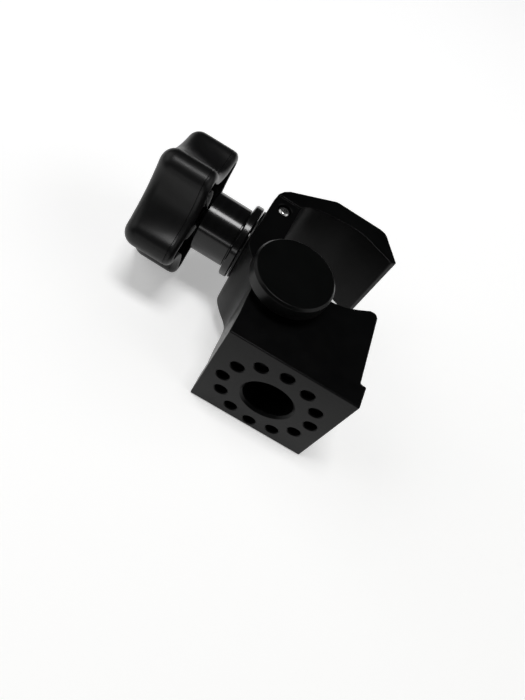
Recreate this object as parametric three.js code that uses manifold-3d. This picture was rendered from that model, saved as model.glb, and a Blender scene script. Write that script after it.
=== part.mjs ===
// Clamp for a round upright pole, with a screw spindle, a five-lobe knob and an indexed flange.
//
// All drawing is done in a working frame in millimetres and shifted to the part's own frame at the end:
//   X  along the screw spindle, from the knob towards the open mouth of the jaw
//   Y  from the flange's mating face into the body
//   Z  up, along the pole
// The working frame's origin is the centre of the ring of index holes, on the flange's mating face.
import * as THREE from 'three';
import { mergeVertices } from 'three/addons/utils/BufferGeometryUtils.js';
import Module from 'manifold-3d';

// ---- driving dimensions (mm) ----
const RING_R = 15;              // pitch radius of the index holes
const HOLE_R = 2.15;            // index hole
const HOLE_DEPTH = 3.4;
const HOLE_COUNT = 12;
const SOCKET_R = 8;             // central socket for the attachment's stud
const SOCKET_DEPTH = 26;
const SOCKET_CHAMFER = 0.8;
const FLANGE_HALF_X = 20.3;
const FLANGE_TOP = 20.3;
const FLANGE_BOTTOM = -18.55;
const FLANGE_T = 7.5;
const FLANGE_EDGE = 0.45;       // bevel round the mating face
const BODY_TOP = 20.3;
const BODY_BOTTOM = -10.4;
const HOOK_RAISE = 0.5;         // the hook's top face stands above the post's
const WALL_OUT = -28.5;         // outer face of the post
const WALL_IN = -19.65;         // inner face of the post, inside the jaw

const SPINDLE_Y = 45.1;
const SPINDLE_Z = 5.25;
const THREAD_R = 4;             // M8
const BUSH_R = 10.35;           // bush outside the post
const BUSH_IN_R = 8.5;          // bush inside the post
const BUSH_BORE_R = 4.5;
const BUSH_LEFT = -44.6;
const COLLAR_R = 12.8;
const COLLAR_LEFT = -32.3;
const COLLAR_RIGHT = -29.6;
const BUSH_RIGHT = -20.1;
const WASHER_R = 12.25;
const WASHER_LEFT = -29.3;
const WASHER_RIGHT = -28.75;

const LOCK_X = -23.9;           // screw that holds the bush in the post
const LOCK_Y = 52.0;
const LOCK_HEAD_R = 1.95;
const LOCK_SHANK_R = 1.2;

const BUTTON_X = -12.4;
const BUTTON_Y = 22.7;
const BUTTON_R = 12.3;
const BUTTON_FLAT_R = 11.55;
const BUTTON_GAP = 3.3;
const BUTTON_T = 4.9;
const PLUNGER_R = 5.6;
const PLUNGER_BORE_R = 5.85;
const PLUNGER_NECK_R = 3.8;

const KNOB_OUT = -62.6;
const KNOB_IN = -45.35;
const LOBES = 5;
const LOBE_CENTRE_R = 17.4;
const LOBE_R = 6.35;
const VALLEY_R = 18.3;
const LOBE_PHASE = 36 * Math.PI / 180;
const KNOB_ROUND_OUT = 3.4;
const KNOB_ROUND_IN = 1.7;
const KNOB_WALL = 2.6;
const HUB_R = 9.6;

const PAD_R = 7;
const PAD_FACE = -6;
const PAD_BACK = -10;

const SHIFT = [21.15, -34.575, 18.55];   // working frame to part frame: origin under the middle of the box

// ---- helpers ----
const wasm = await Module();
wasm.setup();

function solid(geometry) {
  const g = geometry.clone();
  for (const k of Object.keys(g.attributes)) if (k !== 'position') g.deleteAttribute(k);
  const m = mergeVertices(g, 1e-4);
  return new wasm.Manifold(new wasm.Mesh({
    numProp: 3,
    vertProperties: new Float32Array(m.attributes.position.array),
    triVerts: new Uint32Array(m.index.array),
  }));
}

function geometryOf(manifold) {
  const mesh = manifold.getMesh();
  const g = new THREE.BufferGeometry();
  const v = new Float32Array(mesh.numVert * 3);
  for (let i = 0; i < mesh.numVert; i++)
    for (let k = 0; k < 3; k++) v[3 * i + k] = mesh.vertProperties[mesh.numProp * i + k];
  g.setAttribute('position', new THREE.BufferAttribute(v, 3));
  g.setIndex(new THREE.BufferAttribute(new Uint32Array(mesh.triVerts), 1));
  g.computeVertexNormals();
  return g;
}

// cylinder from a to b along 'x', 'y' or 'z', centred on the other two coordinates (in x, y, z order)
function rod(axis, r, a, b, c1, c2, seg = 48) {
  const g = new THREE.CylinderGeometry(r, r, b - a, seg, 1);
  const m = (a + b) / 2;
  if (axis === 'x') { g.rotateZ(-Math.PI / 2); g.translate(m, c1, c2); }
  if (axis === 'y') g.translate(c1, m, c2);
  if (axis === 'z') { g.rotateX(Math.PI / 2); g.translate(c1, c2, m); }
  return g;
}

// body of revolution: pts are [radius, position along the axis], first and last on the axis
function turned(axis, pts, c1, c2, seg = 48) {
  const g = new THREE.LatheGeometry(pts.map(([r, p]) => new THREE.Vector2(r, p)), seg);
  if (axis === 'x') { g.rotateZ(-Math.PI / 2); g.translate(0, c1, c2); }
  if (axis === 'y') g.translate(c1, 0, c2);
  if (axis === 'z') { g.rotateX(Math.PI / 2); g.translate(c1, c2, 0); }
  return g;
}

// outline in X and Y, extruded up Z
function prism(outline, z0, z1, holes = []) {
  const s = new THREE.Shape(outline.map(([x, y]) => new THREE.Vector2(x, y)));
  for (const h of holes) s.holes.push(new THREE.Path(h.map(([x, y]) => new THREE.Vector2(x, y))));
  const g = new THREE.ExtrudeGeometry(s, { depth: z1 - z0, bevelEnabled: false });
  g.translate(0, 0, z0);
  return g;
}

const materials = {
  anodised: new THREE.MeshStandardMaterial({ color: 0x131414, roughness: 0.5, metalness: 0.6 }),
  turned: new THREE.MeshStandardMaterial({ color: 0x101011, roughness: 0.22, metalness: 0.8 }),
  knob: new THREE.MeshStandardMaterial({ color: 0x1b1b1c, roughness: 0.5, metalness: 0 }),
  steel: new THREE.MeshStandardMaterial({ color: 0xb9bbbe, roughness: 0.3, metalness: 1 }),
  darkSteel: new THREE.MeshStandardMaterial({ color: 0x2a2b2d, roughness: 0.35, metalness: 0.9 }),
  rubber: new THREE.MeshStandardMaterial({ color: 0x1a1a1a, roughness: 0.85, metalness: 0 }),
};

const part = new THREE.Group();
part.name = 'pole_clamp';
const frame = new THREE.Group();
frame.position.set(...SHIFT);
part.add(frame);
function add(name, geometry, material) {
  const mesh = new THREE.Mesh(geometry, material);
  mesh.name = name;
  frame.add(mesh);
  return mesh;
}

// ---- clamp body: flange, solid block, post and hook in one piece ----
// a smooth run through the given points, as straight steps
function run(pts, n) {
  const c = new THREE.CatmullRomCurve3(pts.map(([x, y]) => new THREE.Vector3(x, y, 0)), false, 'centripetal');
  return c.getPoints(n).map((p) => [p.x, p.y]);
}
const jawFloor = run([
  [13.9, 33.9], [9.45, 31.2], [6.3, 29.7], [2.7, 28.75], [0, 28.6], [-3, 29.1], [-6.5, 30.8], [-9.5, 32.9],
  [-12, 34.3], [-15, 35.1], [-18, 35.6], [-19.2, 36.0], [WALL_IN, 36.7],
], 22);
const jawRoof = run([
  [WALL_IN, 56.4], [-18.4, 58.0], [-16.2, 59.4], [-11.5, 60.75], [-6.4, 61.5], [0.1, 61.95], [4.3, 61.1], [7.8, 59.75],
  [12.3, 57.95], [14.6, 56.9],
], 20);
const hookBack = run([[11.1, 66.2], [10.2, 67.6], [9.0, 68.6], [7.1, 69.1]], 5);
const hookFront = [[-10.1, 69.15], [-25.4, 60.6], [-27.0, 59.0], [-27.9, 57.2], [-28.2, 56.4]];
const outer = [
  [-20.3, 0.6], [20.3, 0.6], [20.3, 7.6], [18.05, 7.8], [16.75, 32.6], [16.5, 33.3], [16.0, 33.75], [15.3, 33.95],
  ...jawFloor, ...jawRoof, [16.4, 58.2], ...hookBack, ...hookFront,
  [WALL_OUT, 54], [WALL_OUT, 31.2], [-26.8, 28.9], [-24.9, 26.6], [-20.95, 22.6], [-20.8, 15], [-20.4, 6],
];
const flangeShape = new THREE.Shape();
{
  const x = FLANGE_HALF_X - FLANGE_EDGE, z0 = FLANGE_BOTTOM + FLANGE_EDGE, z1 = FLANGE_TOP - FLANGE_EDGE, r = 0.8;
  flangeShape.moveTo(-x + r, z0);
  flangeShape.lineTo(x - r, z0);
  flangeShape.absarc(x - r, z0 + r, r, -Math.PI / 2, 0);
  flangeShape.lineTo(x, z1 - r);
  flangeShape.absarc(x - r, z1 - r, r, 0, Math.PI / 2);
  flangeShape.lineTo(-x + r, z1);
  flangeShape.absarc(-x + r, z1 - r, r, Math.PI / 2, Math.PI);
  flangeShape.lineTo(-x, z0 + r);
  flangeShape.absarc(-x + r, z0 + r, r, Math.PI, 1.5 * Math.PI);
}
const flange = new THREE.ExtrudeGeometry(flangeShape, {
  depth: FLANGE_T - 2 * FLANGE_EDGE, bevelEnabled: true, bevelThickness: FLANGE_EDGE, bevelSize: FLANGE_EDGE,
  bevelSegments: 1, curveSegments: 3,
});
flange.rotateX(Math.PI / 2);            // shape's second axis becomes Z, depth runs along -Y
flange.translate(0, FLANGE_T - FLANGE_EDGE, 0);

let body = solid(prism(outer, BODY_BOTTOM, BODY_TOP)).add(solid(flange));

const crescent = [...jawRoof, [16.4, 58.2], ...hookBack, ...hookFront];
body = body.add(solid(prism(crescent, BODY_TOP - 1, BODY_TOP + HOOK_RAISE)));

body = body.subtract(solid(turned('y', [
  [0, -1], [SOCKET_R + SOCKET_CHAMFER + 1, -1], [SOCKET_R, SOCKET_CHAMFER], [SOCKET_R, SOCKET_DEPTH], [0, SOCKET_DEPTH],
], 0, 0, 48)));
for (let i = 0; i < HOLE_COUNT; i++) {
  const a = i * 2 * Math.PI / HOLE_COUNT;
  body = body.subtract(solid(turned('y', [
    [0, -1], [HOLE_R + 1.25, -1], [HOLE_R, 0.25], [HOLE_R, HOLE_DEPTH - 0.9], [0, HOLE_DEPTH],
  ], RING_R * Math.cos(a), RING_R * Math.sin(a), 16)));
}
body = body.subtract(solid(rod('z', PLUNGER_BORE_R, BODY_BOTTOM - 1, BODY_TOP + 1, BUTTON_X, BUTTON_Y, 32)));
body = body.subtract(solid(rod('z', 7.3, BODY_BOTTOM - 1, BODY_BOTTOM + 2.35, BUTTON_X, BUTTON_Y, 32)));
body = body.subtract(solid(rod('x', BUSH_IN_R + 0.25, WALL_OUT - 1, WALL_IN + 1, SPINDLE_Y, SPINDLE_Z, 40)));
body = body.subtract(solid(rod('z', LOCK_HEAD_R + 0.45, BODY_TOP - 1.9, BODY_TOP + 1, LOCK_X, LOCK_Y, 20)));
body = body.subtract(solid(rod('z', LOCK_SHANK_R + 0.25, -1.2, BODY_TOP, LOCK_X, LOCK_Y, 20)));
add('clamp_body', geometryOf(body), materials.anodised);

// ---- threaded bush, its washer and the screw that locks it in the post ----
let bush = solid(turned('x', [
  [0, BUSH_LEFT], [BUSH_R - 0.5, BUSH_LEFT], [BUSH_R, BUSH_LEFT + 0.5], [BUSH_R, COLLAR_LEFT - 0.5],
  [BUSH_R - 0.45, COLLAR_LEFT - 0.45], [BUSH_R - 0.45, COLLAR_LEFT], [COLLAR_R - 0.4, COLLAR_LEFT],
  [COLLAR_R, COLLAR_LEFT + 0.4], [COLLAR_R, COLLAR_RIGHT - 0.35], [COLLAR_R - 0.35, COLLAR_RIGHT],
  [BUSH_IN_R, COLLAR_RIGHT], [BUSH_IN_R, BUSH_RIGHT - 0.5], [BUSH_IN_R - 0.5, BUSH_RIGHT], [0, BUSH_RIGHT],
], SPINDLE_Y, SPINDLE_Z, 44));
bush = bush.subtract(solid(turned('x', [
  [0, BUSH_LEFT - 1], [BUSH_BORE_R + 1.8, BUSH_LEFT - 1], [BUSH_BORE_R, BUSH_LEFT + 0.8],
  [BUSH_BORE_R, BUSH_RIGHT - 0.8], [BUSH_BORE_R + 1.8, BUSH_RIGHT + 1], [0, BUSH_RIGHT + 1],
], SPINDLE_Y, SPINDLE_Z, 24)));
bush = bush.subtract(solid(rod('z', LOCK_SHANK_R + 0.25, SPINDLE_Z - 12, SPINDLE_Z + 12, LOCK_X, LOCK_Y, 20)));
add('spindle_bush', geometryOf(bush), materials.turned);

const washer = solid(rod('x', WASHER_R, WASHER_LEFT, WASHER_RIGHT, SPINDLE_Y, SPINDLE_Z, 40))
  .subtract(solid(rod('x', BUSH_IN_R + 0.3, WASHER_LEFT - 1, WASHER_RIGHT + 1, SPINDLE_Y, SPINDLE_Z, 40)));
add('bush_washer', geometryOf(washer), materials.darkSteel);

let lock = solid(turned('z', [
  [0, -0.9], [0.5, -0.9], [LOCK_SHANK_R, -0.2], [LOCK_SHANK_R, BODY_TOP - 1.6], [LOCK_HEAD_R, BODY_TOP - 1.6],
  [LOCK_HEAD_R, BODY_TOP - 0.75], [LOCK_HEAD_R - 0.35, BODY_TOP - 0.35], [0, BODY_TOP - 0.15],
], LOCK_X, LOCK_Y, 20));
for (const turn of [0, Math.PI / 2]) {
  const slot = new THREE.BoxGeometry(2.2, 0.5, 1.2);
  slot.rotateZ(turn + 0.4);
  slot.translate(LOCK_X, LOCK_Y, BODY_TOP - 0.3);
  lock = lock.subtract(solid(slot));
}
add('bush_lock_screw', geometryOf(lock), materials.steel);

// ---- spindle: one bar from the nut inside the knob to the pad ----
const spindle = solid(turned('x', [
  [0, -60.1], [THREAD_R - 0.6, -60.1], [THREAD_R, -59.5], [THREAD_R, -12.1], [THREAD_R - 0.8, -11.2], [THREAD_R - 0.8, -10.3],
  [2.5, -10.3], [2.5, -9.05], [1.75, -9.05], [1.75, -8.4], [2.5, -8.4], [2.5, -8.1], [2.2, -7.85], [0, -7.85],
], SPINDLE_Y, SPINDLE_Z, 24));
add('spindle', geometryOf(spindle), materials.darkSteel);

// ---- pressure pad ----
let pad = solid(turned('x', [
  [0, PAD_BACK], [PAD_R - 0.6, PAD_BACK], [PAD_R, PAD_BACK + 0.6], [PAD_R, -7.6], [0, -7.6],
], SPINDLE_Y, SPINDLE_Z, 40));
pad = pad.subtract(solid(rod('x', 2.8, PAD_BACK - 1, -7, SPINDLE_Y, SPINDLE_Z, 24)));
pad = pad.subtract(solid(rod('x', 4.4, -9.35, -7, SPINDLE_Y, SPINDLE_Z, 24)));
add('pressure_pad', geometryOf(pad), materials.darkSteel);

const facing = solid(turned('x', [
  [0, -7.3], [PAD_R, -7.3], [PAD_R, PAD_FACE - 0.4], [PAD_R - 0.4, PAD_FACE], [0, PAD_FACE],
], SPINDLE_Y, SPINDLE_Z, 40));
add('pad_facing', geometryOf(facing), materials.rubber);

function clip(axis, rIn, rOut, a, b, c1, c2, gap) {
  const ring = solid(rod(axis, rOut, a, b, c1, c2, 24)).subtract(solid(rod(axis, rIn, a - 1, b + 1, c1, c2, 24)));
  const cut = new THREE.BoxGeometry(
    axis === 'x' ? b - a + 2 : gap, axis === 'x' ? gap : rOut + 1, axis === 'x' ? rOut + 1 : b - a + 2);
  if (axis === 'x') cut.translate((a + b) / 2, c1, c2 - (rOut + 1) / 2);
  else cut.translate(c1, c2 + (rOut + 1) / 2, (a + b) / 2);
  return ring.subtract(solid(cut));
}
add('pad_circlip', geometryOf(clip('x', 2.05, 3.9, -9.0, -8.45, SPINDLE_Y, SPINDLE_Z, 2.4)), materials.steel);

// ---- knob ----
function lobedOutline(inset, perArc) {
  const k = LOBE_R - VALLEY_R;
  const c = Math.cos(Math.PI / LOBES);
  const D = (LOBE_CENTRE_R ** 2 - k ** 2) / (2 * (k + LOBE_CENTRE_R * c));
  const rv = D - VALLEY_R + inset;
  const rl = LOBE_R - inset;
  const pts = [];
  const step = 2 * Math.PI / LOBES;
  for (let i = 0; i < LOBES; i++) {
    const a = LOBE_PHASE + i * step;
    const cx = LOBE_CENTRE_R * Math.cos(a), cy = LOBE_CENTRE_R * Math.sin(a);
    const px = D * Math.cos(a + step / 2), py = D * Math.sin(a + step / 2);
    const qx = D * Math.cos(a - step / 2), qy = D * Math.sin(a - step / 2);
    const t0 = Math.atan2(qy - cy, qx - cx);
    let t1 = Math.atan2(py - cy, px - cx);
    while (t1 < t0) t1 += 2 * Math.PI;
    for (let j = 0; j < perArc; j++) {
      const t = t0 + (t1 - t0) * j / (perArc - 1);
      pts.push([cx + rl * Math.cos(t), cy + rl * Math.sin(t)]);
    }
    const nx = LOBE_CENTRE_R * Math.cos(a + step), ny = LOBE_CENTRE_R * Math.sin(a + step);
    const s0 = Math.atan2(cy - py, cx - px);
    let d = Math.atan2(ny - py, nx - px) - s0;
    d = ((d + Math.PI) % (2 * Math.PI) + 2 * Math.PI) % (2 * Math.PI) - Math.PI;
    const mid = Math.max(3, Math.round(perArc * 0.6));
    for (let j = 1; j < mid; j++) {
      const t = s0 + d * j / mid;
      pts.push([px + rv * Math.cos(t), py + rv * Math.sin(t)]);
    }
  }
  return pts;
}
// outline given in the Y, Z plane about the spindle axis, extruded along X
function lobed(inset, x0, x1, bevel, perArc = 9) {
  const s = new THREE.Shape(lobedOutline(inset, perArc).map(([y, z]) => new THREE.Vector2(y, z)));
  const g = new THREE.ExtrudeGeometry(s, bevel
    ? { depth: x1 - x0 - 2 * bevel, bevelEnabled: true, bevelThickness: bevel, bevelSize: bevel, bevelOffset: -bevel, bevelSegments: 3 }
    : { depth: x1 - x0, bevelEnabled: false });
  g.translate(0, 0, bevel);
  g.applyMatrix4(new THREE.Matrix4().set(0, 0, 1, x0, 1, 0, 0, SPINDLE_Y, 0, 1, 0, SPINDLE_Z, 0, 0, 0, 1));
  return g;
}
let knob = solid(lobed(0, KNOB_OUT, KNOB_IN - 1.5, KNOB_ROUND_OUT)).add(solid(lobed(0, KNOB_OUT + 6, KNOB_IN, KNOB_ROUND_IN)));
const hollow = solid(lobed(KNOB_WALL, -56.5, KNOB_IN + 1, 0, 7))
  .subtract(solid(rod('x', HUB_R, -57, KNOB_IN + 2, SPINDLE_Y, SPINDLE_Z, 40)));
knob = knob.subtract(hollow);
knob = knob.subtract(solid(rod('x', HUB_R + 0.5, -49.2, KNOB_IN + 2, SPINDLE_Y, SPINDLE_Z, 40)));
knob = knob.subtract(solid(rod('x', 6.8, -54.4, KNOB_IN + 2, SPINDLE_Y, SPINDLE_Z, 40)));
knob = knob.subtract(solid(rod('x', 4.3, -60, -50, SPINDLE_Y, SPINDLE_Z, 24)));
knob = knob.subtract(solid(rod('x', 7.9, -64, -55.6, SPINDLE_Y, SPINDLE_Z, 36)));
knob = knob.subtract(solid(rod('x', 9.4, -64, -60.2, SPINDLE_Y, SPINDLE_Z, 40)));
add('knob', geometryOf(knob), materials.knob);

let insert = solid(turned('x', [
  [0, -54.1], [6.5, -54.1], [6.5, -48.9], [9.1, -48.9], [9.1, -47.2], [8.7, -46.8], [0, -46.8],
], SPINDLE_Y, SPINDLE_Z, 40));
insert = insert.subtract(solid(rod('x', THREAD_R + 0.3, -55, -46, SPINDLE_Y, SPINDLE_Z, 24)));
add('knob_insert', geometryOf(insert), materials.darkSteel);

const nut = solid(rod('x', 7.4, -59.8, -55.9, SPINDLE_Y, SPINDLE_Z, 6))
  .subtract(solid(rod('x', THREAD_R + 0.3, -61, -55, SPINDLE_Y, SPINDLE_Z, 24)));
add('spindle_nut', geometryOf(nut), materials.steel);

const cap = solid(turned('x', [
  [0, -62.4], [8.6, -62.4], [9.1, -61.9], [9.1, -60.5], [0, -60.5],
], SPINDLE_Y, SPINDLE_Z, 40));
add('knob_end_cap', geometryOf(cap), materials.knob);

// ---- release button, its plunger, spring and clip ----
const headLow = BODY_TOP + BUTTON_GAP, headTop = headLow + BUTTON_T;
let head = solid(turned('z', [
  [0, headLow], [BUTTON_R - 0.3, headLow], [BUTTON_R, headLow + 0.3], [BUTTON_R, headTop - 0.75],
  [BUTTON_FLAT_R, headTop], [0, headTop],
], BUTTON_X, BUTTON_Y, 56));
const recess = solid(rod('z', 8.3, headLow - 1, headTop - 1.5, BUTTON_X, BUTTON_Y, 32))
  .subtract(solid(rod('z', 5.2, headLow - 2, headTop, BUTTON_X, BUTTON_Y, 32)));
head = head.subtract(recess).subtract(solid(rod('z', 3.3, headLow - 1, headTop - 1.5, BUTTON_X, BUTTON_Y, 28)));
add('release_button', geometryOf(head), materials.anodised);

const plunger = solid(turned('z', [
  [0, -9.3], [PLUNGER_R - 0.4, -9.3], [PLUNGER_R, -8.9], [4.6, -8.85], [4.6, -8.2], [PLUNGER_R, -8.15],
  [PLUNGER_R, -1.8], [PLUNGER_NECK_R, -1.8], [PLUNGER_NECK_R, 7.8], [PLUNGER_R, 7.8],
  [PLUNGER_R, headLow - 0.3], [3, headLow - 0.3], [3, headTop - 1.9], [0, headTop - 1.9],
], BUTTON_X, BUTTON_Y, 32));
add('latch_plunger', geometryOf(plunger), materials.steel);

const coils = 3, springLow = BODY_TOP + 0.75, springHigh = headTop - 2.25, wire = 0.4;
class Helix extends THREE.Curve {
  getPoint(t, target = new THREE.Vector3()) {
    const a = t * coils * 2 * Math.PI;
    return target.set(BUTTON_X + 7.2 * Math.cos(a), BUTTON_Y + 7.2 * Math.sin(a), springLow + (springHigh - springLow) * t);
  }
}
const wireShape = new THREE.Shape();
wireShape.absarc(0, 0, wire, 0, 2 * Math.PI);
const spring = new THREE.ExtrudeGeometry(wireShape, { steps: coils * 20, curveSegments: 3, bevelEnabled: false, extrudePath: new Helix() });
add('button_spring', geometryOf(solid(spring)), materials.steel);

add('plunger_circlip', geometryOf(clip('z', 4.85, 6.9, -8.75, -8.3, BUTTON_X, BUTTON_Y, 4)), materials.steel);

export default part;
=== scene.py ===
import math

import bmesh
import bpy
import numpy as np
from mathutils import Matrix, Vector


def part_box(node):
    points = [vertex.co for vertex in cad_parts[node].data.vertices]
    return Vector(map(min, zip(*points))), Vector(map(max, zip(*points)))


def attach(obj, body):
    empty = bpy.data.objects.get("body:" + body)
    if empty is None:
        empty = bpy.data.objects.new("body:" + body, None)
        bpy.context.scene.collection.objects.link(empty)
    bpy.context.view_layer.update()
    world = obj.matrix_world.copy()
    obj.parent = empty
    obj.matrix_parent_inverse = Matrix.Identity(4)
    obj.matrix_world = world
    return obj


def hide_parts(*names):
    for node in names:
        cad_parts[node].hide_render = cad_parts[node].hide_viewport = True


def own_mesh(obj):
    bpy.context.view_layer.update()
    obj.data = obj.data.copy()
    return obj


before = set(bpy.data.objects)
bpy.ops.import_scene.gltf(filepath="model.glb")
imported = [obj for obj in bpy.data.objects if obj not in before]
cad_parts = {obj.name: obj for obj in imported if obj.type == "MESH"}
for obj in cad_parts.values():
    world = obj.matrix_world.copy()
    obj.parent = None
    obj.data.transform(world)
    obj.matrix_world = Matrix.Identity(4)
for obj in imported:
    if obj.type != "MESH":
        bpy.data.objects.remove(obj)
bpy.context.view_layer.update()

# The meshes are drawn in millimetres in a working frame whose origin is the centre of the ring of index holes,
# on the flange's mating face: X along the spindle, Y into the body, Z up. SHIFT carries it to the part's frame.
_lo, _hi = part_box("clamp_body")
SHIFT = np.array([_hi[0] * 1000 - 20.3, _lo[1] * 1000, _lo[2] * 1000 + 18.55])

RING_R, HOLE_R, HOLE_DEPTH, HOLE_COUNT = 15.0, 2.15, 3.4, 12
SOCKET_R, SOCKET_DEPTH = 8.0, 26.0
TOP, BOTTOM, FLANGE_BOTTOM, HOOK_TOP = 20.3, -10.4, -18.55, 20.8
AY, AZ = 45.1, 5.25  # spindle axis
BUTTON_X, BUTTON_Y = -12.4, 22.7
HEAD_LOW = TOP + 3.3
HEAD_TOP = HEAD_LOW + 4.9
LOCK_X, LOCK_Y = -23.9, 52.0


# ---------------------------------------------------------------- mesh helpers
def metres(v):
    return (np.asarray(v, float).reshape(-1, 3) + SHIFT) / 1000.0


def make(name, verts, faces):
    me = bpy.data.meshes.new(name)
    me.from_pydata([tuple(p) for p in metres(verts)], [], [tuple(f) for f in faces])
    bm = bmesh.new()
    bm.from_mesh(me)
    bmesh.ops.recalc_face_normals(bm, faces=bm.faces)
    bm.to_mesh(me)
    bm.free()
    ob = bpy.data.objects.new(name, me)
    bpy.context.scene.collection.objects.link(ob)
    return ob


def corner_arc(a, b, c, f, n):
    a, b, c = np.array(a, float), np.array(b, float), np.array(c, float)
    u, v = a - b, c - b
    lu, lv = np.linalg.norm(u), np.linalg.norm(v)
    u, v = u / lu, v / lv
    cosang = float(np.clip(u @ v, -1, 1))
    half = math.acos(cosang) / 2
    if half > math.pi / 2 - 0.01 or half < 0.01:
        return [b]
    t = min(f / math.tan(half), 0.49 * lu, 0.49 * lv)
    f = t * math.tan(half)
    bis = (u + v) / np.linalg.norm(u + v)
    centre = b + bis * f / math.sin(half)
    p, q = b + u * t - centre, b + v * t - centre
    sweep = math.pi - 2 * half
    out = []
    for i in range(n + 1):
        s = i / n
        out.append(centre + (math.sin((1 - s) * sweep) * p + math.sin(s * sweep) * q) / math.sin(sweep))
    return out


def rounded(pts, n=4, loop=False):
    """Points [x, y] or [x, y, fillet]: every corner that states a fillet becomes an arc of n steps."""
    out = []
    m = len(pts)
    for i, p in enumerate(pts):
        if len(p) < 3 or not p[2] or (not loop and i in (0, m - 1)):
            out.append(np.array(p[:2], float))
        else:
            out += corner_arc(pts[i - 1][:2], p[:2], pts[(i + 1) % m][:2], p[2], n)
    return out


def at(axis, p, a, b, c1, c2):
    if axis == "x":
        return (p, c1 + a, c2 + b)
    if axis == "y":
        return (c1 + a, p, c2 + b)
    return (c1 + a, c2 + b, p)


def strip(rings, loop):
    faces = []
    pairs = list(zip(rings, rings[1:] + ([rings[0]] if loop else [])))
    if not loop:
        pairs = pairs[: len(rings) - 1]
    for r0, r1 in pairs:
        n = max(len(r0), len(r1))
        for j in range(n):
            k = (j + 1) % n
            if len(r0) == 1:
                faces.append((r0[0], r1[j], r1[k]))
            elif len(r1) == 1:
                faces.append((r0[j], r1[0], r0[k]))
            else:
                faces.append((r0[j], r1[j], r1[k], r0[k]))
    return faces


def turn(name, axis, pts, c1, c2, seg=128, loop=False, n=4, shape=None):
    """Body of revolution from [radius, position(, fillet)] points; loop=True closes a ring-shaped section.
    shape(angle, radius, position) may change a point's radius."""
    pts = rounded(pts, n, loop)
    verts, rings = [], []
    for r, p in pts:
        if r < 1e-9:
            rings.append([len(verts)])
            verts.append(at(axis, p, 0, 0, c1, c2))
            continue
        start = len(verts)
        for j in range(seg):
            t = 2 * math.pi * j / seg
            rr = shape(t, r, p) if shape else r
            verts.append(at(axis, p, rr * math.cos(t), rr * math.sin(t), c1, c2))
        rings.append(list(range(start, start + seg)))
    return make(name, verts, strip(rings, loop))


def apply_modifiers(ob):
    dg = bpy.context.evaluated_depsgraph_get()
    me = bpy.data.meshes.new_from_object(ob.evaluated_get(dg))
    ob.modifiers.clear()
    old = ob.data
    ob.data = me
    me.name = ob.name
    bpy.data.meshes.remove(old)
    return ob


def cut(ob, cutters, op="DIFFERENCE", solver="EXACT"):
    for c in cutters:
        m = ob.modifiers.new("cut", "BOOLEAN")
        m.operation, m.solver, m.object = op, solver, c
        apply_modifiers(ob)
        data = c.data
        bpy.data.objects.remove(c)
        bpy.data.meshes.remove(data)
    return ob


def tidy(ob, merge=2e-6):
    bm = bmesh.new()
    bm.from_mesh(ob.data)
    bmesh.ops.remove_doubles(bm, verts=bm.verts, dist=merge)
    bmesh.ops.dissolve_degenerate(bm, edges=bm.edges, dist=1e-6)
    loose = [v for v in bm.verts if not v.link_faces]
    bmesh.ops.delete(bm, geom=loose, context="VERTS")
    bmesh.ops.recalc_face_normals(bm, faces=bm.faces)
    bm.to_mesh(ob.data)
    bm.free()
    return ob


def shade(ob, angle=32, weighted=True):
    ob.data.shade_smooth()
    ob.data.set_sharp_from_angle(angle=math.radians(angle))
    if weighted:
        m = ob.modifiers.new("normals", "WEIGHTED_NORMAL")
        m.mode, m.weight, m.keep_sharp = "FACE_AREA", 50, True
    return ob


def run(pts, n):
    """Centripetal curve through the points, as n straight steps."""
    p = [np.array(q, float) for q in pts]
    out = []
    for k in range(n + 1):
        s = (len(p) - 1) * k / n
        i = min(int(s), len(p) - 2)
        w = s - i
        p1, p2 = p[i], p[i + 1]
        p0 = p[i - 1] if i > 0 else 2 * p1 - p2
        p3 = p[i + 2] if i + 2 < len(p) else 2 * p2 - p1
        d0, d1, d2 = (max(math.sqrt(np.linalg.norm(b - a)), 1e-4) for a, b in ((p0, p1), (p1, p2), (p2, p3)))
        t1 = ((p1 - p0) / d0 - (p2 - p0) / (d0 + d1) + (p2 - p1) / d1) * d1
        t2 = ((p2 - p1) / d1 - (p3 - p1) / (d1 + d2) + (p3 - p2) / d2) * d1
        out.append(p1 + t1 * w + (-3 * p1 + 3 * p2 - 2 * t1 - t2) * w * w + (2 * p1 - 2 * p2 + t1 + t2) * w**3)
    return out


# ---------------------------------------------------------------- materials
def nodes_of(name):
    mat = bpy.data.materials.new(name)
    mat.use_nodes = True
    nt = mat.node_tree
    bsdf = nt.nodes["Principled BSDF"]
    return mat, nt, bsdf


def link(nt, a, b):
    nt.links.new(a, b)


def coords(nt, scale=(1, 1, 1), rotation=(0, 0, 0)):
    tc = nt.nodes.new("ShaderNodeTexCoord")
    mp = nt.nodes.new("ShaderNodeMapping")
    mp.inputs["Scale"].default_value = scale
    mp.inputs["Rotation"].default_value = rotation
    link(nt, tc.outputs["Object"], mp.inputs["Vector"])
    return mp.outputs["Vector"]


def noise(nt, vec, scale, detail=3.0, rough=0.55, distortion=0.0):
    n = nt.nodes.new("ShaderNodeTexNoise")
    n.inputs["Scale"].default_value = scale
    n.inputs["Detail"].default_value = detail
    n.inputs["Roughness"].default_value = rough
    n.inputs["Distortion"].default_value = distortion
    link(nt, vec, n.inputs["Vector"])
    return n.outputs["Fac"]


def ramp(nt, fac, stops):
    r = nt.nodes.new("ShaderNodeValToRGB")
    el = r.color_ramp.elements
    while len(el) < len(stops):
        el.new(0.5)
    for e, (pos, col) in zip(el, stops):
        e.position = pos
        e.color = col if len(col) == 4 else (*col, 1)
    link(nt, fac, r.inputs["Fac"])
    return r.outputs["Color"]


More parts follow.
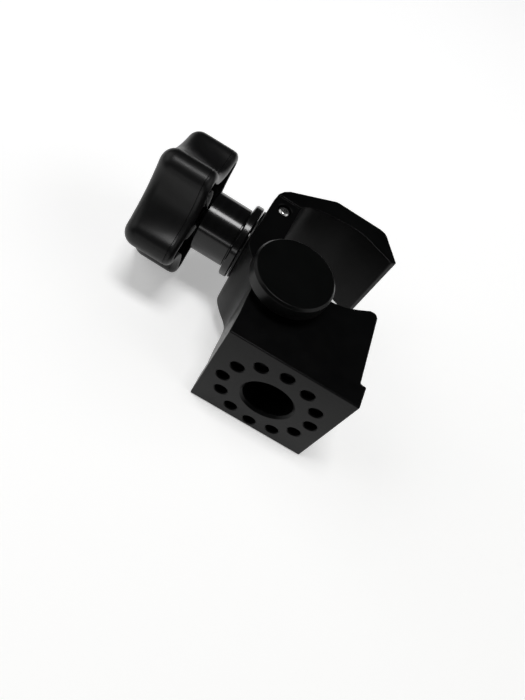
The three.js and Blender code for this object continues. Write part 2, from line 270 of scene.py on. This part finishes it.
def spread(nt, fac, lo, hi):
    m = nt.nodes.new("ShaderNodeMapRange")
    m.inputs["From Min"].default_value = 0.25
    m.inputs["From Max"].default_value = 0.75
    m.inputs["To Min"].default_value = lo
    m.inputs["To Max"].default_value = hi
    link(nt, fac, m.inputs["Value"])
    return m.outputs["Result"]


def bump(nt, height, strength, distance, normal=None):
    b = nt.nodes.new("ShaderNodeBump")
    b.inputs["Strength"].default_value = strength
    b.inputs["Distance"].default_value = distance
    link(nt, height, b.inputs["Height"])
    if normal is not None:
        link(nt, normal, b.inputs["Normal"])
    return b.outputs["Normal"]


def grey(v, tint=(1, 1, 1)):
    return (v * tint[0], v * tint[1], v * tint[2])


def material_coat():
    """Fine-textured black powder coat over the cast body."""
    mat, nt, b = nodes_of("powder_coat_black")
    v = coords(nt)
    broad = noise(nt, v, 90, 3, 0.6)
    grain = noise(nt, v, 2600, 2, 0.5)
    peel = noise(nt, v, 900, 3, 0.5)
    link(nt, ramp(nt, broad, [(0.3, grey(0.0012, (0.95, 1.0, 1.05))), (0.72, grey(0.0026, (0.98, 1.0, 1.03)))]), b.inputs["Base Color"])
    link(nt, spread(nt, noise(nt, v, 240, 4, 0.6), 0.29, 0.36), b.inputs["Roughness"])
    n1 = bump(nt, peel, 0.22, 0.00008)
    link(nt, bump(nt, grain, 0.30, 0.00003, n1), b.inputs["Normal"])
    b.inputs["Specular IOR Level"].default_value = 0.11
    return mat


def material_bush():
    """Turned and black anodised: fine marks run round the axis."""
    mat, nt, b = nodes_of("turned_black")
    rings = noise(nt, coords(nt, (5200, 60, 60)), 1.0, 3, 0.6)
    broad = noise(nt, coords(nt, (900, 30, 30)), 1.0, 3, 0.6)
    link(nt, ramp(nt, broad, [(0.3, grey(0.0025)), (0.75, grey(0.0055, (1.0, 1.0, 1.06)))]), b.inputs["Base Color"])
    link(nt, spread(nt, rings, 0.13, 0.2), b.inputs["Roughness"])
    link(nt, bump(nt, rings, 0.10, 0.00002), b.inputs["Normal"])
    b.inputs["Specular IOR Level"].default_value = 0.38
    return mat


def material_knob():
    """Moulded black plastic with a satin, finely eroded surface."""
    mat, nt, b = nodes_of("moulded_plastic_black")
    v = coords(nt)
    broad = noise(nt, v, 70, 3, 0.6)
    grain = noise(nt, v, 3200, 2, 0.5)
    link(nt, ramp(nt, broad, [(0.3, grey(0.003)), (0.75, grey(0.0055, (1.0, 1.0, 1.04)))]), b.inputs["Base Color"])
    link(nt, spread(nt, noise(nt, v, 260, 3, 0.6), 0.33, 0.42), b.inputs["Roughness"])
    link(nt, bump(nt, grain, 0.25, 0.00003), b.inputs["Normal"])
    b.inputs["Specular IOR Level"].default_value = 0.25
    return mat


def material_button():
    """Satin black anodised, with faint circular turning marks about the button's own axis."""
    mat, nt, b = nodes_of("button_black")
    tc = nt.nodes.new("ShaderNodeTexCoord")
    mp = nt.nodes.new("ShaderNodeMapping")
    c = metres([[BUTTON_X, BUTTON_Y, 0]])[0]
    mp.inputs["Location"].default_value = (-c[0], -c[1], 0)
    link(nt, tc.outputs["Object"], mp.inputs["Vector"])
    w = nt.nodes.new("ShaderNodeTexWave")
    w.wave_type, w.rings_direction = "RINGS", "Z"
    w.inputs["Scale"].default_value = 900
    w.inputs["Distortion"].default_value = 1.5
    w.inputs["Detail"].default_value = 3
    w.inputs["Detail Scale"].default_value = 2
    link(nt, mp.outputs["Vector"], w.inputs["Vector"])
    v = coords(nt)
    grain = noise(nt, v, 2400, 2, 0.5)
    broad = noise(nt, v, 110, 3, 0.6)
    link(nt, ramp(nt, broad, [(0.3, grey(0.0014, (0.95, 1.05, 1.0))), (0.75, grey(0.0028, (0.95, 1.05, 1.0)))]), b.inputs["Base Color"])
    link(nt, spread(nt, grain, 0.28, 0.34), b.inputs["Roughness"])
    n1 = bump(nt, w.outputs["Fac"], 0.02, 0.00001)
    link(nt, bump(nt, grain, 0.06, 0.00001, n1), b.inputs["Normal"])
    b.inputs["Specular IOR Level"].default_value = 0.16
    return mat


def material_steel(name, axis_scale, lo, hi, r0, r1, strength=0.12):
    mat, nt, b = nodes_of(name)
    marks = noise(nt, coords(nt, axis_scale), 1.0, 3, 0.6)
    broad = noise(nt, coords(nt), 300, 3, 0.6)
    link(nt, ramp(nt, broad, [(0.3, grey(lo)), (0.75, grey(hi, (1.0, 1.0, 0.98)))]), b.inputs["Base Color"])
    link(nt, spread(nt, marks, r0, r1), b.inputs["Roughness"])
    link(nt, bump(nt, marks, strength, 0.00002), b.inputs["Normal"])
    b.inputs["Metallic"].default_value = 1.0
    return mat


def material_insert():
    """Phosphated steel, dull and nearly black, with fine turning marks."""
    mat, nt, b = nodes_of("phosphate_black")
    marks = noise(nt, coords(nt, (3600, 90, 90)), 1.0, 3, 0.6)
    link(nt, ramp(nt, noise(nt, coords(nt), 260, 3, 0.6), [(0.3, grey(0.002)), (0.75, grey(0.005))]), b.inputs["Base Color"])
    link(nt, spread(nt, marks, 0.5, 0.62), b.inputs["Roughness"])
    link(nt, bump(nt, marks, 0.15, 0.00002), b.inputs["Normal"])
    b.inputs["Specular IOR Level"].default_value = 0.12
    return mat


def material_rubber():
    mat, nt, b = nodes_of("rubber_black")
    v = coords(nt)
    link(nt, ramp(nt, noise(nt, v, 160, 4, 0.6), [(0.3, grey(0.010)), (0.75, grey(0.022))]), b.inputs["Base Color"])
    link(nt, spread(nt, noise(nt, v, 700, 3, 0.6), 0.7, 0.88), b.inputs["Roughness"])
    link(nt, bump(nt, noise(nt, v, 1800, 3, 0.6), 0.35, 0.00006), b.inputs["Normal"])
    return mat


COAT, BUSH, KNOB, BUTTON, RUBBER = material_coat(), material_bush(), material_knob(), material_button(), material_rubber()
STEEL = material_steel("steel_bright", (900, 900, 900), 0.50, 0.62, 0.2, 0.32)
STEEL_Z = material_steel("steel_turned_z", (60, 60, 4200), 0.42, 0.58, 0.22, 0.34)
OXIDE = material_steel("steel_black_oxide", (2600, 120, 120), 0.018, 0.036, 0.36, 0.5)


def finish(ob, mat, body, slot, *nodes):
    ob.data.materials.clear()
    ob.data.materials.append(mat)
    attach(ob, body)
    if nodes:
        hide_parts(*nodes)
    return ob


# ---------------------------------------------------------------- clamp body
def body_piece():
    jaw_floor = run(
        [[13.9, 33.9], [9.45, 31.2], [6.3, 29.7], [2.7, 28.75], [0, 28.6], [-3, 29.1], [-6.5, 30.8], [-9.5, 32.9],
         [-12, 34.3], [-15, 35.1], [-18, 35.6], [-19.2, 36.0], [-19.65, 36.7]], 60)
    jaw_roof = run(
        [[-19.65, 56.4], [-18.4, 58.0], [-16.2, 59.4], [-11.5, 60.75], [-6.4, 61.5], [0.1, 61.95], [4.3, 61.1],
         [7.8, 59.75], [12.3, 57.95], [14.6, 56.9]], 54)
    hook_back = run([[11.1, 66.2], [10.2, 67.6], [9.0, 68.6], [7.1, 69.1]], 10)
    tip = rounded([[14.0, 57.15], [14.6, 56.9], [16.4, 58.2, 0.45], [11.1, 66.2]], 4)[1:-1]
    hook_front = rounded(
        [[7.1, 69.1], [-10.1, 69.15, 3.0], [-25.4, 60.6, 1.6], [-27.0, 59.0, 1.6], [-27.9, 57.2, 1.6], [-28.2, 56.4]], 5)[1:]
    crescent = [*jaw_roof, *tip[1:], *hook_back, *hook_front]
    left = run([[-28.5, 54.0], [-28.5, 48], [-28.5, 38], [-28.5, 32.6], [-28.1, 30.9], [-26.9, 29.0], [-24.9, 26.6],
                [-22.6, 24.2], [-21.3, 22.0], [-20.9, 18.5], [-20.75, 14], [-20.45, 9]], 40)
    right = rounded([[20.3, 7.5], [18.35, 7.62, 0.5], [16.75, 32.6, 1.0], [16.0, 33.75, 0.5], [15.1, 34.0, 0.5], [13.9, 33.9]], 4)[1:-1]
    ring = [np.array(p, float) for p in ([-20.3, 0], [20.3, 0], [20.3, 7.5])] + [*right, *jaw_floor]
    first = len(ring)
    ring += [*crescent]
    last = len(ring) - 1
    ring += [*left, np.array([-20.3, 7.5])]
    count = len(ring)

    verts, faces = [], []

    def add(p, z):
        verts.append((p[0], p[1], z))
        return len(verts) - 1

    low = [add(p, BOTTOM) for p in ring]
    high = [add(p, TOP) for p in ring]
    foot = [add(ring[i], FLANGE_BOTTOM) for i in (0, 1, 2, count - 1)]
    raised = {i: add(ring[i], HOOK_TOP) for i in range(first, last + 1)}
    # flange below the block
    faces.append((foot[0], foot[3], foot[2], foot[1]))
    faces.append((foot[0], foot[1], high[1], high[0]))
    faces.append((foot[1], foot[2], low[2], high[2], high[1]))
    faces.append((foot[2], foot[3], low[count - 1], low[2]))
    faces.append((foot[3], foot[0], high[0], high[count - 1], low[count - 1]))
    # underside of the block
    faces.append(tuple(reversed(low[2:])))
    # walls
    for i in range(2, count - 1):
        j = i + 1
        if first <= i and j <= last:
            faces.append((low[i], low[j], raised[j], raised[i]))
        elif i == first - 1:
            faces.append((low[i], low[j], high[j], high[i]))
        else:
            faces.append((low[i], low[j], high[j], high[i]))
    # top: the block's n-gon follows the ring to the hook's inner corner, crosses, and comes back up the post
    faces.append(tuple(high[0 : first + 1] + high[last:]))
    faces.append((high[first], raised[first], raised[last], high[last]))
    faces.append(tuple(raised[i] for i in range(first, last + 1)))
    ob = make("body_shell", verts, faces)
    # the walls at both ends of the step share their upright with the raised part, so drop vertices nothing uses
    bm = bmesh.new()
    bm.from_mesh(ob.data)
    bmesh.ops.delete(bm, geom=[v for v in bm.verts if not v.link_faces], context="VERTS")
    bmesh.ops.holes_fill(bm, edges=[e for e in bm.edges if e.is_boundary], sides=4)
    bmesh.ops.recalc_face_normals(bm, faces=bm.faces)
    layer = bm.edges.layers.float.get("bevel_weight_edge") or bm.edges.layers.float.new("bevel_weight_edge")
    z_top, z_hook = (TOP + SHIFT[2]) / 1000, (HOOK_TOP + SHIFT[2]) / 1000
    for e in bm.edges:
        if len(e.link_faces) != 2:
            continue
        a = e.calc_face_angle(0)
        if a < math.radians(28):
            continue
        w = 1.0
        za, zb = e.verts[0].co.z, e.verts[1].co.z
        if abs(za - z_top) < 1e-6 and abs(zb - z_top) < 1e-6 and e.calc_length() < 0.0095 and all(
            v.co.y * 1000 - SHIFT[1] > 56.3 for v in e.verts
        ):
            w = 0.35  # foot of the step on to the hook
        elif abs(za - z_hook) < 1e-6 and abs(zb - z_hook) < 1e-6:
            w = 0.62
        e[layer] = w
    bm.to_mesh(ob.data)
    bm.free()
    m = ob.modifiers.new("edges", "BEVEL")
    m.limit_method, m.width, m.segments, m.profile = "WEIGHT", 0.00042, 3, 0.5
    m.use_clamp_overlap = False
    m.miter_outer = "MITER_ARC"
    apply_modifiers(ob)

    cutters = [turn("c", "y", [[0, -2], [SOCKET_R + 2.8, -2], [SOCKET_R, 0.8, 0.35], [SOCKET_R, SOCKET_DEPTH], [0, SOCKET_DEPTH]], 0, 0, 128)]
    for i in range(HOLE_COUNT):
        a = i * 2 * math.pi / HOLE_COUNT
        cutters.append(turn(
            "c", "y", [[0, -2], [HOLE_R + 2.3, -2], [HOLE_R, 0.3, 0.15], [HOLE_R, HOLE_DEPTH - 0.9], [0, HOLE_DEPTH]],
            RING_R * math.cos(a), RING_R * math.sin(a), 40))
    cutters.append(turn("c", "z", [[0, BOTTOM - 2], [7.3, BOTTOM - 2], [7.3, BOTTOM + 2.35], [5.85, BOTTOM + 2.35], [5.85, TOP - 0.25],
                                   [5.85 + 1.8, TOP + 1.55], [0, TOP + 1.55]], BUTTON_X, BUTTON_Y, 96))
    cutters.append(turn("c", "x", [[0, -30.5], [8.75 + 2.3, -30.5], [8.75, -28.2], [8.75, -19.95], [8.75 + 1.3, -18.65], [0, -18.65]], AY, AZ, 128))
    cutters.append(turn("c", "z", [[0, 18.4], [2.4, 18.4], [2.4, TOP - 0.2], [2.4 + 1.2, TOP + 1.0], [0, TOP + 1.0]], LOCK_X, LOCK_Y, 64))
    cutters.append(turn("c", "z", [[0, -1.2], [1.45, -1.2], [1.45, 19], [0, 19]], LOCK_X, LOCK_Y, 48))
    for c in cutters:
        cut(ob, [c])
    tidy(ob)
    return shade(ob, 30)


body = finish(body_piece(), COAT, "body", "body_coat", "clamp_body")
body.name = "clamp_body_cast"

# ---------------------------------------------------------------- bush, washer, lock screw
bush = turn("bush", "x", [
    [4.5, -44.2, 0.2], [5.3, -44.6, 0.15], [9.85, -44.6, 0.1], [10.35, -44.1, 0.12], [10.35, -32.85, 0.05], [9.85, -32.7, 0.05], [9.85, -32.3, 0.05],
    [12.35, -32.3, 0.1], [12.8, -31.85, 0.15], [12.8, -29.95, 0.15], [12.45, -29.6, 0.1], [8.5, -29.6], [8.5, -20.6, 0.2], [8.0, -20.1, 0.2],
    [5.2, -20.1, 0.1], [4.5, -20.9, 0.2],
], AY, AZ, 160, loop=True)
cut(bush, [turn("c", "z", [[0, -8], [1.45, -8], [1.45, 18.5], [0, 18.5]], LOCK_X, LOCK_Y, 40)])
tidy(bush)
shade(bush, 30)
finish(bush, BUSH, "body", "bush_black", "spindle_bush")
bush.name = "spindle_bush_turned"

washer = shade(turn("bush_washer_ring", "x", [[8.8, -29.3, 0.05], [12.2, -29.3, 0.12], [12.2, -28.75, 0.12], [8.8, -28.75, 0.05]], AY, AZ, 128, loop=True), 40)
finish(washer, OXIDE, "body", "steel_dark", "bush_washer")

lock = turn("lock", "z", [[0, -0.9], [0.55, -0.9], [1.2, -0.2], [1.2, 18.7, 0.1], [1.95, 18.7, 0.1], [1.95, 19.5, 0.35], [1.3, 19.98, 0.6], [0, 20.12]], LOCK_X, LOCK_Y, 64, n=5)


def slot_cutter(angle, length, width, z0, z1):
    c, s = math.cos(angle), math.sin(angle)
    pts = []
    for z, k in ((z0, 0.72), (z1, 1.0)):
        for a, b in ((-1, -1), (1, -1), (1, 1), (-1, 1)):
            x, y = a * length / 2 * k, b * width / 2
            pts.append((LOCK_X + x * c - y * s, LOCK_Y + x * s + y * c, z))
    return make("slot", pts, [(3, 2, 1, 0), (4, 5, 6, 7), (0, 1, 5, 4), (1, 2, 6, 5), (2, 3, 7, 6), (3, 0, 4, 7)])


cut(lock, [slot_cutter(0.4, 2.3, 0.52, 19.15, 21), slot_cutter(0.4 + math.pi / 2, 2.3, 0.52, 19.15, 21)])
tidy(lock)
shade(lock, 30)
finish(lock, STEEL, "body", "steel_bright", "bush_lock_screw")
lock.name = "lock_screw_cross"

# ---------------------------------------------------------------- spindle with its thread
def spindle_piece():
    pitch, seg, per = 1.25, 64, 12
    depth = 0.68
    x0, x1 = -60.1, -12.1
    count = int(round((x1 - x0) / pitch * per))

    def thread(t, x):
        ph = ((x - x0) / pitch - t / (2 * math.pi)) % 1.0
        d = abs(ph - 0.5) * 2
        h = min(1.0, max(0.0, (d - 0.06) / 0.82))
        r = 4.0 - depth * (1 - h)
        end = min(max((x - x0) / 0.9, 0), max((x1 - x) / 0.9, 0), 1)
        return 3.25 + (r - 3.25) * (0.15 + 0.85 * end) if r > 3.25 else r

    verts, rings = [], []

    def ring(x, fn):
        start = len(verts)
        for j in range(seg):
            t = 2 * math.pi * j / seg
            r = fn(t)
            verts.append(at("x", x, r * math.cos(t), r * math.sin(t), AY, AZ))
        rings.append(list(range(start, start + seg)))

    rings.append([0])
    verts.append((x0, AY, AZ))
    ring(x0, lambda t: 2.9)
    for i in range(count + 1):
        x = x0 + (x1 - x0) * i / count
        ring(x if i else x0 + 0.05, lambda t, x=x: thread(t, x))
    for r, x in ((3.2, -11.7), (3.2, -10.35), (3.1, -10.3), (2.5, -10.3), (2.5, -9.05), (1.75, -9.05), (1.75, -8.4), (2.5, -8.4), (2.5, -8.1), (2.2, -7.85)):
        ring(x, lambda t, r=r: r)
    rings.append([len(verts)])
    verts.append((-7.85, AY, AZ))
    return make("spindle_threaded", verts, strip(rings, False))


spindle = shade(spindle_piece(), 40, False)
finish(spindle, OXIDE, "spindle", "steel_dark", "spindle")

# ---------------------------------------------------------------- pressure pad
pad = shade(turn("pressure_pad_turned", "x", [
    [2.8, -10.0, 0.12], [7.0, -10.0, 0.55], [7.0, -7.6, 0.12], [4.4, -7.6, 0.08], [4.4, -9.35, 0.08], [2.8, -9.35, 0.08]],
    AY, AZ, 96, loop=True), 35)
finish(pad, OXIDE, "pad", "steel_dark", "pressure_pad")
facing = shade(turn("pad_facing_rubber", "x", [[0, -7.3], [7.0, -7.3, 0.1], [7.0, -6.0, 0.4], [0, -6.0]], AY, AZ, 96), 35)
finish(facing, RUBBER, "pad", "rubber_black", "pad_facing")


def clip_piece(name, axis, r_in, r_out, a, b, c1, c2, gap_angle, gap_at):
    """Open ring of flat section, a little wider opposite the gap, with rounded ends."""
    steps = 72
    span = 2 * math.pi - 2 * gap_angle
    verts, rings = [], []
    e = 0.06
    for i in range(steps + 1):
        s = i / steps
        t = gap_at + gap_angle + span * s
        near = min(s, 1 - s) * span
        out = r_out - (r_out - r_in) * 0.28 * (1 - math.sin(math.pi * s)) * min(1, near / 0.5)
        if near < 0.10:
            out -= (r_out - r_in) * 0.35 * (1 - near / 0.10) ** 2
        inn = r_in + ((r_out - r_in) * 0.25 * (1 - near / 0.08) ** 2 if near < 0.08 else 0)
        sec = [(inn + e, a), (out - e, a), (out, a + e), (out, b - e), (out - e, b), (inn + e, b), (inn, b - e), (inn, a + e)]
        start = len(verts)
        verts += [at(axis, p, r * math.cos(t), r * math.sin(t), c1, c2) for r, p in sec]
        rings.append(list(range(start, start + 8)))
    faces = strip(rings, False)
    faces += [tuple(rings[0]), tuple(reversed(rings[-1]))]
    return make(name, verts, faces)


pad_clip = shade(clip_piece("pad_circlip_ring", "x", 2.05, 3.9, -9.0, -8.45, AY, AZ, 0.42, -math.pi / 2), 35)
finish(pad_clip, STEEL, "pad", "steel_bright", "pad_circlip")

# ---------------------------------------------------------------- knob
LOBES, LOBE_CENTRE_R, LOBE_R = 5, 18.7, 5.2
VALLEY_IN, VALLEY_OUT = 16.9, 18.6  # the valleys grow shallower towards the outer end
TAPER = 0.2  # how much smaller the outline is at the outer end
LOBE_PHASE = math.radians(36)
KNOB_OUT, KNOB_IN, HUB_R = -62.6, -45.35, 9.6
HALF = math.pi / LOBES


def lobe_radius(t, inset, valley):
    k = LOBE_R - valley
    centre = (LOBE_CENTRE_R**2 - k**2) / (2 * (k + LOBE_CENTRE_R * math.cos(HALF)))
    a = (t - LOBE_PHASE + HALF) % (2 * HALF) - HALF
    a = abs(a)
    rl = LOBE_R - inset
    rv = centre - valley + inset
    cv = np.array([centre * math.cos(HALF), centre * math.sin(HALF)])
    cl = np.array([LOBE_CENTRE_R, 0.0])
    d = (cv - cl) / np.linalg.norm(cv - cl)
    touch = cl + d * rl
    if a < math.atan2(touch[1], touch[0]):
        return LOBE_CENTRE_R * math.cos(a) + math.sqrt(max(rl * rl - (LOBE_CENTRE_R * math.sin(a)) ** 2, 0))
    p = HALF - a
    return centre * math.cos(p) - math.sqrt(max(rv * rv - (centre * math.sin(p)) ** 2, 0))


def knob_piece():
    seg = 300
    st = []  # stations: (position, "lobe", inset) or (position, "ring", radius)

    def ring(x, r):
        st.append((x, "ring", r))

    def lobe(x, inset):
        st.append((x, "lobe", inset))

    ring(KNOB_OUT + 0.3, 9.4)
    ring(KNOB_OUT + 0.08, 9.5)
    ring(KNOB_OUT, 9.7)
    ring(KNOB_OUT, 11.0)
    r0 = 4.3
    lobe(KNOB_OUT, r0 + 1.2)
    for i in range(13):
        a = math.pi / 2 * i / 12
        lobe(KNOB_OUT + r0 * (1 - math.sin(a)), r0 * (1 - math.cos(a)))
    st[-13:] = list(reversed(st[-13:]))
    side0, r1 = KNOB_OUT + r0, 2.0
    part = KNOB_IN - r1 - 0.15  # parting line
    for i in range(1, 9):
        lobe(side0 + (part - 0.3 - side0) * i / 9, 0.0)
    lobe(part - 0.28, 0.0)
    lobe(part - 0.16, 0.02)
    lobe(part - 0.05, 0.20)
    lobe(part + 0.05, 0.20)
    lobe(part + 0.15, 0.05)
    for i in range(1, 11):
        a = math.pi / 2 * i / 10
        lobe(KNOB_IN - r1 + r1 * math.sin(a), 0.05 + 1.15 * r1 * (1 - math.cos(a)))
    lobe(KNOB_IN, 2.7)
    lobe(KNOB_IN - 0.08, 2.95)
    lobe(KNOB_IN - 0.3, 3.05)
    for i in range(1, 6):
        lobe(KNOB_IN - 0.3 + (-55.9 - KNOB_IN + 0.3) * i / 5, 3.05)
    lobe(-56.3, 3.2)
    lobe(-56.5, 3.5)
    ring(-56.5, HUB_R + 0.9)
    ring(-56.42, HUB_R + 0.4)
    ring(-56.1, HUB_R + 0.08)
    ring(-55.6, HUB_R)
    ring(-49.45, HUB_R)
    ring(-49.25, HUB_R - 0.08)
    ring(-49.2, HUB_R - 0.25)
    ring(-49.2, 7.0)
    ring(-49.3, 6.8)
    ring(-54.4, 6.8)
    ring(-54.4, 4.3)
    ring(-55.6, 4.3)
    ring(-55.6, 7.9)
    ring(-60.2, 7.9)
    ring(-60.2, 9.4)
    verts, rings = [], []
    lobes = {}
    for x, kind, v in st:
        start = len(verts)
        for j in range(seg):
            t = 2 * math.pi * j / seg
            if kind == "ring":
                r = v
            else:
                along = max(0.0, (KNOB_IN - 2.5 - x) / (KNOB_IN - 2.5 - KNOB_OUT))
                valley = VALLEY_IN + (VALLEY_OUT - VALLEY_IN) * along
                key = (round(v, 5), round(valley, 5), j)
                if key not in lobes:
                    lobes[key] = lobe_radius(t, v + TAPER * along, valley)
                r = lobes[key]
            verts.append(at("x", x, r * math.cos(t), r * math.sin(t), AY, AZ))
        rings.append(list(range(start, start + seg)))
    return make("knob_five_lobe", verts, strip(rings, True))


knob = shade(knob_piece(), 40)
finish(knob, KNOB, "spindle", "knob_plastic", "knob")

insert = shade(turn("knob_insert_turned", "x", [
    [4.3, -54.1], [6.5, -54.1, 0.2], [6.5, -48.9], [9.1, -48.9, 0.2], [9.1, -46.8, 0.4], [4.9, -46.8, 0.15], [4.3, -47.3, 0.1]],
    AY, AZ, 128, loop=True), 35)
finish(insert, material_insert(), "spindle", "steel_dark", "knob_insert")


def hexagon(t, r, p):
    if r < 5.5:
        return r
    a = (t % (math.pi / 3)) - math.pi / 6
    return min(r, 7.4 * math.cos(math.pi / 6) / math.cos(a))


nut = shade(turn("spindle_nut_hex", "x", [
    [4.3, -59.5], [4.9, -59.8], [6.35, -59.8], [6.75, -59.62], [7.4, -59.25], [7.4, -56.45], [6.75, -56.08], [6.35, -55.9],
    [4.9, -55.9], [4.3, -56.2]], AY, AZ, 144, loop=True, shape=hexagon), 25)
finish(nut, STEEL, "spindle", "steel_bright", "spindle_nut")

cap = shade(turn("knob_end_cap_disc", "x", [
    [0, -62.1], [6.9, -62.1], [7.4, -62.4, 0.3], [9.1, -62.4, 0.45], [9.1, -60.5, 0.1], [0, -60.5]], AY, AZ, 128), 35)
finish(cap, KNOB, "spindle", "knob_plastic", "knob_end_cap")

# ---------------------------------------------------------------- release button
button = shade(turn("release_button_turned", "z", [
    [0, HEAD_TOP - 1.5], [3.3, HEAD_TOP - 1.5], [3.3, HEAD_LOW, 0.2], [5.2, HEAD_LOW, 0.2], [5.2, HEAD_TOP - 1.5, 0.3],
    [8.3, HEAD_TOP - 1.5, 0.3], [8.3, HEAD_LOW, 0.2], [12.3, HEAD_LOW, 0.35], [12.3, HEAD_TOP - 0.72, 0.25],
    [11.6, HEAD_TOP, 0.3], [0, HEAD_TOP]], BUTTON_X, BUTTON_Y, 200, n=5), 50)
finish(button, BUTTON, "button", "body_coat", "release_button")

plunger = shade(turn("latch_plunger_turned", "z", [
    [0, -9.3], [5.6, -9.3, 0.4], [5.6, -8.85, 0.05], [4.6, -8.85], [4.6, -8.2], [5.6, -8.15, 0.05], [5.6, -1.8, 0.2], [3.8, -1.8, 0.3],
    [3.8, 7.8, 0.3], [5.6, 7.8, 0.2], [5.6, HEAD_LOW - 0.3, 0.2], [3.0, HEAD_LOW - 0.3, 0.1], [3.0, HEAD_TOP - 1.9, 0.3],
    [0, HEAD_TOP - 1.9]], BUTTON_X, BUTTON_Y, 96), 35)
finish(plunger, STEEL_Z, "button", "steel_bright", "latch_plunger")


def spring_piece():
    coils, low, high, wire, mean = 3.0, TOP + 0.75, HEAD_TOP - 2.25, 0.4, 7.2
    steps, sec = 160, 14
    verts, rings = [], []
    for i in range(steps + 1):
        s = i / steps
        a = 2 * math.pi * coils * s
        z = low + (high - low) * s
        rad = np.array([math.cos(a), math.sin(a), 0])
        tan = np.array([-mean * math.sin(a), mean * math.cos(a), (high - low) / (2 * math.pi * coils)])
        tan /= np.linalg.norm(tan)
        up = np.cross(rad, tan)
        c = np.array([BUTTON_X + mean * math.cos(a), BUTTON_Y + mean * math.sin(a), z])
        shrink = 0.55 if i in (0, steps) else 1.0
        start = len(verts)
        for j in range(sec):
            t = 2 * math.pi * j / sec
            verts.append(tuple(c + wire * shrink * (math.cos(t) * rad + math.sin(t) * up)))
        rings.append(list(range(start, start + sec)))
        if i == 0:  # a second ring just inside the end rounds it off
            c2 = c + tan * 0.12
            start = len(verts)
            for j in range(sec):
                t = 2 * math.pi * j / sec
                verts.append(tuple(c2 + wire * (math.cos(t) * rad + math.sin(t) * up)))
            rings.append(list(range(start, start + sec)))
    faces = strip(rings, False)
    faces += [tuple(rings[0]), tuple(reversed(rings[-1]))]
    return make("button_spring_wire", verts, faces)


spring = shade(spring_piece(), 50, False)
finish(spring, STEEL, "button", "steel_bright", "button_spring")
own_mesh(spring)

plunger_clip = shade(clip_piece("plunger_circlip_ring", "z", 4.85, 6.9, -8.75, -8.3, BUTTON_X, BUTTON_Y, 0.34, math.pi / 2), 35)
finish(plunger_clip, STEEL, "button", "steel_bright", "plunger_circlip")

# ---------------------------------------------------------------- floor, light and camera
# Floor sheet with painted light: it glows on its own to lighten the shadows round the clamp, and a painted falloff
# darkens it towards the bottom of the view.
def painted_light_floor(name, colour, rough):
    mat, nt, b = nodes_of(name)
    v = coords(nt)
    dot = nt.nodes.new("ShaderNodeVectorMath")  # painted light falloff: the sheet's colour and glow get darker towards the bottom of the view
    dot.operation = "DOT_PRODUCT"
    dot.inputs[1].default_value = (-0.58, 0.81, 0)
    link(nt, v, dot.inputs[0])
    painted_falloff = nt.nodes.new("ShaderNodeMapRange")
    painted_falloff.inputs["From Min"].default_value, painted_falloff.inputs["From Max"].default_value = -0.16, 0.12
    link(nt, dot.outputs["Value"], painted_falloff.inputs["Value"])
    painted_floor_tone = ramp(nt, painted_falloff.outputs["Result"], [(0.0, grey(colour * 0.93, (1, 1, 0.99))), (1.0, grey(colour * 1.02))])
    link(nt, painted_floor_tone, b.inputs["Base Color"])
    link(nt, painted_floor_tone, b.inputs["Emission Color"])
    b.inputs["Roughness"].default_value = rough
    b.inputs["Specular IOR Level"].default_value = 0.1
    # painted glow: the floor gives off light of its own, which lifts the shadows under the knob and sleeve
    b.inputs["Emission Strength"].default_value = 0.41
    return mat


bpy.ops.mesh.primitive_plane_add(size=6, location=(0, 0, -0.00015))
floor = bpy.context.object
floor.name = "floor"
floor.data.materials.append(painted_light_floor("floor_white_painted_glow", 0.90, 0.9))

world = bpy.data.worlds.new("studio")
bpy.context.scene.world = world
world.use_nodes = True
wt = world.node_tree
bg = wt.nodes.get("Background") or wt.nodes.new("ShaderNodeBackground")
bg.inputs["Color"].default_value = (0.95, 0.98, 1.0, 1)
bg.inputs["Strength"].default_value = 0.02


def area(name, direction, distance, size_x, size_y, radiance, target=(0, 0, 0.02), roll=0.0, colour=(1, 1, 1)):
    data = bpy.data.lights.new(name, "AREA")
    data.shape = "RECTANGLE"
    data.size, data.size_y = size_x, size_y
    data.energy = radiance * math.pi * size_x * size_y
    data.color = colour
    ob = bpy.data.objects.new(name, data)
    bpy.context.scene.collection.objects.link(ob)
    d = np.array(direction, float)
    d /= np.linalg.norm(d)
    t = np.array(target, float)
    p = t + d * distance
    x = np.cross((0, 0, 1), d)
    if np.linalg.norm(x) < 0.2:
        x = np.array((1.0, 0, 0)) - d * d[0]
    x /= np.linalg.norm(x)
    y = np.cross(d, x)
    ob.matrix_world = Matrix((
        (x[0], y[0], d[0], p[0]),
        (x[1], y[1], d[1], p[1]),
        (x[2], y[2], d[2], p[2]),
        (0, 0, 0, 1),
    ))
    return ob


area("ceiling", (-0.08, -0.02, 1.0), 1.5, 0.6, 0.34, 17)
area("front_strip", (-0.07, -0.97, 0.22), 1.6, 1.2, 0.13, 3.4)
area("fill_right", (0.80, 0.03, 0.50), 1.5, 1.5, 1.2, 1.1)
area("fill_left", (-0.80, 0.03, 0.50), 1.5, 1.5, 1.2, 1.1)

cam_data = bpy.data.cameras.new("camera")
cam = bpy.data.objects.new("camera", cam_data)
bpy.context.scene.collection.objects.link(cam)
cam_data.sensor_width, cam_data.sensor_fit = 36.0, "AUTO"
cam_data.lens = 552.48 / 700 * 36.0
cam_data.clip_start, cam_data.clip_end = 0.01, 50
right, up, back = (0.85531, 0.36239, 0.37030), (-0.50931, 0.71927, 0.47250), (-0.09512, -0.59273, 0.79976)
loc = tuple((np.array([-24.079, -85.775, 136.300]) + SHIFT) / 1000)
cam.matrix_world = Matrix((
    (right[0], up[0], back[0], loc[0]),
    (right[1], up[1], back[1], loc[1]),
    (right[2], up[2], back[2], loc[2]),
    (0, 0, 0, 1),
))
bpy.context.scene.camera = cam
bpy.context.scene.view_settings.view_transform = "Standard"
